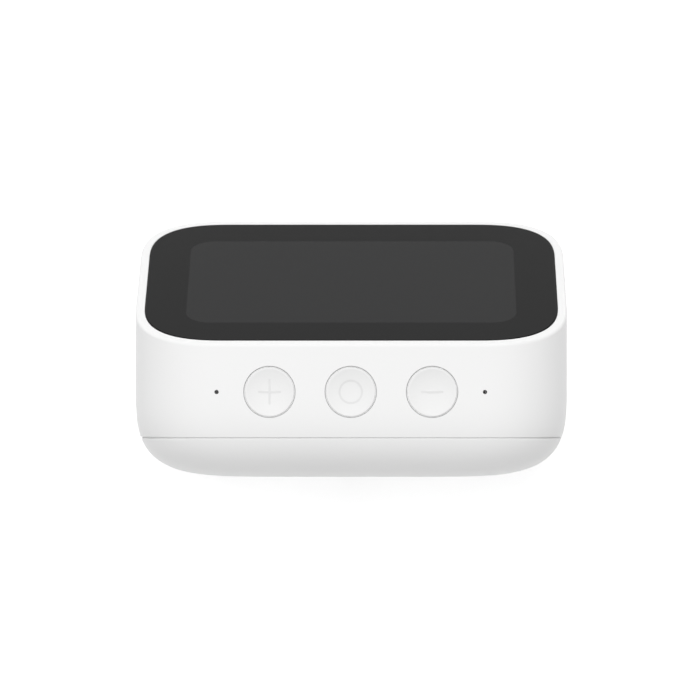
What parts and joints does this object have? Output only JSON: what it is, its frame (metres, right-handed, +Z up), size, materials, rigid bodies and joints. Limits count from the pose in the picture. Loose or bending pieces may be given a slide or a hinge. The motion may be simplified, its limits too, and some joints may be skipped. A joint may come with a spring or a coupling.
{
  "type": "smart speaker",
  "caption": "Bedside smart speaker with a tilted touch display in front, push buttons and microphone holes on top, and a rear-facing loudspeaker behind a perforated grille.",
  "frame": {"origin": "on the table under the middle of the object", "axes": "+X to the right seen from the front, along the width; +Y towards the rear; +Z up"},
  "size_m": [0.113, 0.0684, 0.072],
  "materials": {
    "white_shell": "fine satin moulded",
    "button_white": "fine satin moulded",
    "cover_glass": "black printed back, polished",
    "panel_glass": "dark, polished",
    "black_tape": "foam tape",
    "stamped_steel": "stamped, bright",
    "dark_steel": "zinc plated, dull",
    "screw_steel": "plated",
    "board_green": "solder mask on glass laminate",
    "chip_black": "moulded epoxy",
    "amber_film": "polyimide film",
    "grey_rubber": "matt silicone",
    "black_rubber": "matt",
    "black_plastic": "moulded",
    "cone_black": "pressed pulp with a coating",
    "copper": "enamelled copper winding",
    "grille_cloth": "open woven acoustic cloth",
    "red_sleeve": "wire insulation"
  },
  "bodies": {
    "housing": {"main_shell": "white_shell", "rear_cover": "white_shell", "foot_pad": "grey_rubber", "ballast_plate": "dark_steel", "cover_glass": "cover_glass", "display_tape": "black_tape", "lcd_panel": "panel_glass", "backlight_tray": "stamped_steel", "display_bracket": "dark_steel", "main_board": "board_green", "shield_can": "stamped_steel", "processor_chip": "chip_black", "memory_chip": "chip_black", "display_flex": "amber_film", "button_flex": "amber_film", "button_board": "board_green", "grille_cloth": "grille_cloth", "speaker_box": "black_plastic", "speaker_baffle": "black_plastic", "speaker_gasket": "black_rubber", "speaker_basket": "black_plastic", "speaker_yoke": "dark_steel", "speaker_magnet": "stamped_steel", "speaker_top_plate": "dark_steel", "speaker_surround": "black_rubber", "speaker_spider": "amber_film", "power_board": "board_green", "usb_socket": "stamped_steel", "usb_tongue": "black_plastic", "wifi_antenna": "amber_film", "power_lead": "black_plastic", "speaker_lead": "red_sleeve", "bracket_screw_1": "screw_steel", "bracket_screw_2": "screw_steel", "bracket_screw_3": "screw_steel", "bracket_screw_4": "screw_steel", "board_screw_1": "screw_steel", "cover_screw_1": "screw_steel", "speaker_screw_1": "screw_steel", "board_screw_2": "screw_steel", "cover_screw_2": "screw_steel", "speaker_screw_2": "screw_steel", "microphone_left": "stamped_steel", "mic_boot_left": "black_rubber", "button_board_screw_left": "screw_steel", "microphone_right": "stamped_steel", "mic_boot_right": "black_rubber", "button_board_screw_right": "screw_steel", "volume_up_switch": "stamped_steel", "action_switch": "stamped_steel", "volume_down_switch": "stamped_steel"},
    "volume_up_key": {"volume_up_button": "button_white", "volume_up_plunger": "black_plastic"},
    "action_key": {"action_button": "button_white", "action_plunger": "black_plastic"},
    "volume_down_key": {"volume_down_button": "button_white", "volume_down_plunger": "black_plastic"},
    "cone_assembly": {"speaker_cone": "cone_black", "dust_cap": "cone_black", "voice_coil": "copper"}
  },
  "joints": [
    {"name": "volume_up_press", "type": "slide", "parent": "housing", "child": "volume_up_key", "axis": [0, 0, -1], "range_m": [0, 0.00035], "stiffness_N_per_m": 900},
    {"name": "action_press", "type": "slide", "parent": "housing", "child": "action_key", "axis": [0, 0, -1], "range_m": [0, 0.00035], "stiffness_N_per_m": 900},
    {"name": "volume_down_press", "type": "slide", "parent": "housing", "child": "volume_down_key", "axis": [0, 0, -1], "range_m": [0, 0.00035], "stiffness_N_per_m": 900},
    {"name": "cone_stroke", "type": "slide", "parent": "housing", "child": "cone_assembly", "axis": [0, 1, 0], "range_m": [-0.0012, 0.0012], "stiffness_N_per_m": 900}
  ]
}
